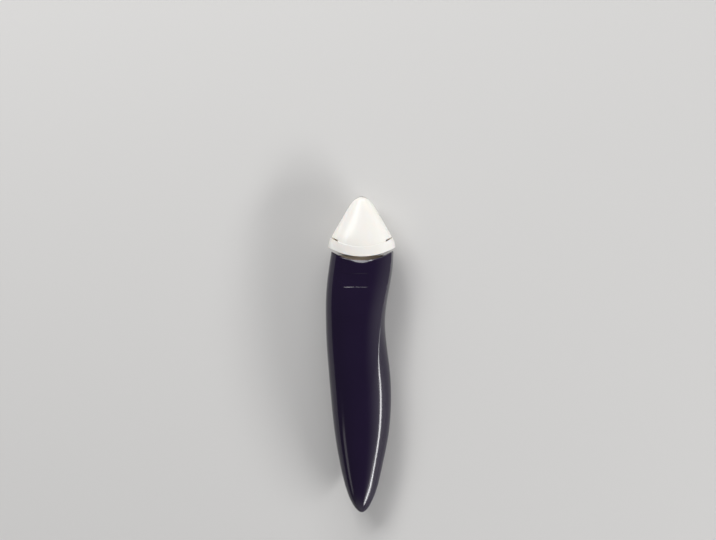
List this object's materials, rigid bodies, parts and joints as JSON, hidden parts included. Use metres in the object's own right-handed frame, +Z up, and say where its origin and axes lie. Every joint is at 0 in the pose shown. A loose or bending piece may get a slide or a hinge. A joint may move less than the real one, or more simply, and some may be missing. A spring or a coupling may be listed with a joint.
{
  "type": "chalk wheel marker",
  "caption": "Pen-shaped tailor's chalk marker: a glossy curved handle with a finger rest, and a pull-out chalk cartridge whose ivory cone carries a small toothed wheel at its tip.",
  "frame": {"origin": "centre of the bounding box's footprint, on the surface that the tool's flat back land rests on", "axes": "+Y along the tool from its tail to the wheel, +Z up out of the front flank, +X towards the finger rest; the wheel turns about Z"},
  "size_m": [0.0237, 0.1078, 0.0157],
  "materials": {
    "handle_plastic": "high-gloss moulded, dark aubergine",
    "ivory_plastic": "polished moulded, ivory white",
    "collar_plastic": "satin moulded, beige ivory",
    "wheel_metal": "stamped and nickel-plated",
    "axle_steel": "drawn wire, ground",
    "tube_plastic": "translucent natural polypropylene",
    "chalk_powder": "fine white powder",
    "plug_plastic": "soft moulded stopper, off-white"
  },
  "bodies": {
    "handle": {"handle_front_shell": "handle_plastic", "handle_rear_shell": "handle_plastic"},
    "cartridge": {"nose_cone": "ivory_plastic", "neck_collar": "collar_plastic", "wheel_fork": "collar_plastic", "reservoir_tube": "tube_plastic", "chalk_charge": "chalk_powder"},
    "wheel": {"toothed_wheel": "wheel_metal", "wheel_axle": "axle_steel"},
    "plug": {"filler_plug": "plug_plastic"}
  },
  "joints": [
    {"name": "cartridge_slide", "type": "slide", "parent": "handle", "child": "cartridge", "axis": [0, 1, 0], "range_m": [0, 0.052]},
    {"name": "wheel_spin", "type": "hinge", "parent": "cartridge", "child": "wheel", "pos_m": [0.00042, 0.0513, 0.00765], "axis": [0, 0, 1], "continuous": true},
    {"name": "plug_pull", "type": "slide", "parent": "cartridge", "child": "plug", "axis": [0, -1, 0], "range_m": [0, 0.006]}
  ]
}
